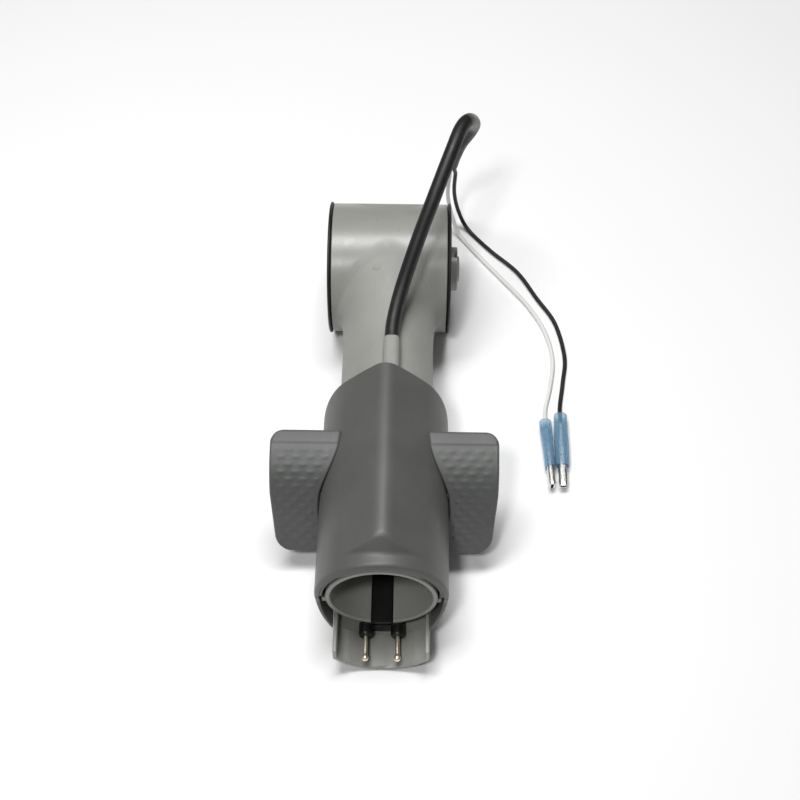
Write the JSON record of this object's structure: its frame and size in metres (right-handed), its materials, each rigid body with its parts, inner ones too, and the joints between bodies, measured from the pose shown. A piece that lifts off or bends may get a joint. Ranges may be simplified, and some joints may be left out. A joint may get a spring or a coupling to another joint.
{
  "type": "vacuum nozzle pivot neck",
  "caption": "Pivot neck of a powered floor nozzle: tilting drum, air tube with latched wand socket, foot release pedal, plug and lead with push-on terminals.",
  "frame": {"origin": "centre of the right trunnion's flat end face, on the tilt axis", "axes": "+X along the tilt axis and out of the right trunnion, -Y out of the wand socket's mouth, +Z towards the roofed side of the cover"},
  "size_m": [0.1129, 0.2117, 0.0916],
  "materials": {
    "light_grey": "satin moulded",
    "dark_grey": "fine textured",
    "pedal_grey": "studded tread",
    "rubber_black": "matt",
    "black_plastic": "satin",
    "brass": "bright",
    "steel": "tinned or plated",
    "white_insulation": "smooth",
    "blue_nylon": "translucent",
    "acetal": "smooth"
  },
  "bodies": {
    "neck": {"neck_tube": "light_grey", "end_cap_left": "light_grey", "end_cap_right": "light_grey", "end_seal_left": "rubber_black", "end_seal_right": "rubber_black", "upper_cover": "dark_grey", "lower_cover": "dark_grey", "plug_housing": "light_grey", "plug_body": "black_plastic", "contact_pin_left": "brass", "contact_pin_right": "brass", "socket_seal": "rubber_black", "cord_sleeve": "rubber_black", "cord_grommet": "rubber_black", "wire_black": "rubber_black", "wire_white": "white_insulation", "terminal_sleeve_black": "blue_nylon", "terminal_sleeve_white": "blue_nylon", "terminal_receptacle_black": "steel", "terminal_receptacle_white": "steel", "pawl_pivot_pin": "steel", "pawl_spring": "steel", "pedal_spring_left": "steel", "pedal_spring_right": "steel", "cover_screw_front": "steel", "cover_screw_rear": "steel", "housing_screw_left": "steel", "housing_screw_right": "steel"},
    "pedal": {"release_pedal": "pedal_grey"},
    "latch": {"latch_pawl": "acetal"}
  },
  "joints": [
    {"name": "pedal_slide", "type": "slide", "parent": "neck", "child": "pedal", "axis": [0, 1, 0], "range_m": [0, 0.007], "stiffness_N_per_m": 400, "springref_m": -0.004, "deforming": ["pedal_spring_left", "pedal_spring_right"]},
    {"name": "pawl_pivot", "type": "hinge", "parent": "neck", "child": "latch", "pos_m": [-0.0277, -0.091, 0.0206], "axis": [-1, 0, 0], "range_deg": [0, 3], "deforming": ["pawl_spring"]}
  ],
  "couplings": [
    {"joint": "pawl_pivot", "follows": "pedal_slide", "rad_per_m": 7.479}
  ]
}
